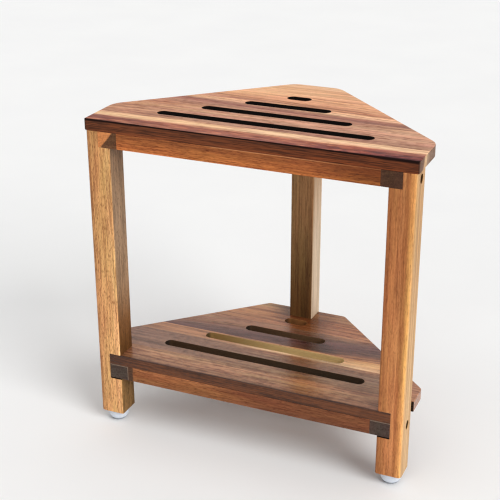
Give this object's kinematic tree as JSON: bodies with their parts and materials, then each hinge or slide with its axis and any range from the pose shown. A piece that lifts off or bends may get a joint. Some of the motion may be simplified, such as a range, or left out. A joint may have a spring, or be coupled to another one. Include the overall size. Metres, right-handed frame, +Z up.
{
  "type": "corner shower stool",
  "caption": "Triangular wooden corner shower stool: a seat with drain slots over a matching shelf, on notched square legs with screw-in levelling feet.",
  "frame": {"origin": "on the floor, under the middle of the overall box", "axes": "+X to the right along the front edge, +Y back towards the wall corner, +Z up"},
  "size_m": [0.457, 0.272, 0.461],
  "materials": {
    "wood_seat": "oiled satin, banded heartwood and sapwood",
    "wood_shelf": "oiled satin, darker banded heartwood",
    "wood_leg": "oiled satin, golden straight grain",
    "wood_rail": "oiled satin, reddish brown",
    "wood_block": "oiled, dark end grain",
    "plastic_foot": "moulded, slightly bluish white",
    "steel": "plain stainless",
    "brass": "plain"
  },
  "bodies": {
    "stool": {"seat_stave_1_front": "wood_seat", "seat_stave_2": "wood_seat", "seat_stave_3": "wood_seat", "seat_stave_4": "wood_seat", "seat_stave_5": "wood_seat", "seat_stave_6": "wood_seat", "seat_stave_7_back": "wood_seat", "shelf_stave_1_front": "wood_shelf", "shelf_stave_2": "wood_shelf", "shelf_stave_3": "wood_shelf", "shelf_stave_4": "wood_shelf", "shelf_stave_5": "wood_shelf", "shelf_stave_6_back": "wood_shelf", "leg_front_left": "wood_leg", "leg_front_right": "wood_leg", "leg_back": "wood_leg", "upper_front_rail": "wood_rail", "upper_side_rail_left": "wood_rail", "upper_side_rail_right": "wood_rail", "lower_front_rail": "wood_rail", "lower_side_rail_left": "wood_rail", "lower_side_rail_right": "wood_rail", "upper_corner_block_left": "wood_block", "upper_corner_block_right": "wood_block", "upper_back_block": "wood_block", "lower_corner_block_left": "wood_block", "lower_corner_block_right": "wood_block", "lower_back_block": "wood_block", "leg_bolts": "steel", "leg_bolt_washers": "steel", "leg_bolt_inserts": "brass", "seat_screws": "steel", "shelf_screws": "steel", "foot_inserts": "brass"},
    "stud_front_left": {"foot_stud_front_left": "steel"},
    "pad_front_left": {"foot_pad_front_left": "plastic_foot"},
    "stud_front_right": {"foot_stud_front_right": "steel"},
    "pad_front_right": {"foot_pad_front_right": "plastic_foot"},
    "stud_back": {"foot_stud_back": "steel"},
    "pad_back": {"foot_pad_back": "plastic_foot"}
  },
  "joints": [
    {"name": "foot_front_left_travel", "type": "slide", "parent": "stool", "child": "stud_front_left", "axis": [0, 0, -1], "range_m": [0, 0.01]},
    {"name": "foot_front_left_turn", "type": "hinge", "parent": "stud_front_left", "child": "pad_front_left", "pos_m": [-0.209, -0.118, 0], "axis": [0, 0, -1], "range_deg": [0, 2880]},
    {"name": "foot_front_right_travel", "type": "slide", "parent": "stool", "child": "stud_front_right", "axis": [0, 0, -1], "range_m": [0, 0.01]},
    {"name": "foot_front_right_turn", "type": "hinge", "parent": "stud_front_right", "child": "pad_front_right", "pos_m": [0.209, -0.118, 0], "axis": [0, 0, -1], "range_deg": [0, 2880]},
    {"name": "foot_back_travel", "type": "slide", "parent": "stool", "child": "stud_back", "axis": [0, 0, -1], "range_m": [0, 0.01]},
    {"name": "foot_back_turn", "type": "hinge", "parent": "stud_back", "child": "pad_back", "pos_m": [0, 0.099, 0], "axis": [0, 0, -1], "range_deg": [0, 2880]}
  ],
  "couplings": [
    {"joint": "foot_front_left_travel", "follows": "foot_front_left_turn", "m_per_rad": 0.00019894},
    {"joint": "foot_front_right_travel", "follows": "foot_front_right_turn", "m_per_rad": 0.00019894},
    {"joint": "foot_back_travel", "follows": "foot_back_turn", "m_per_rad": 0.00019894}
  ]
}
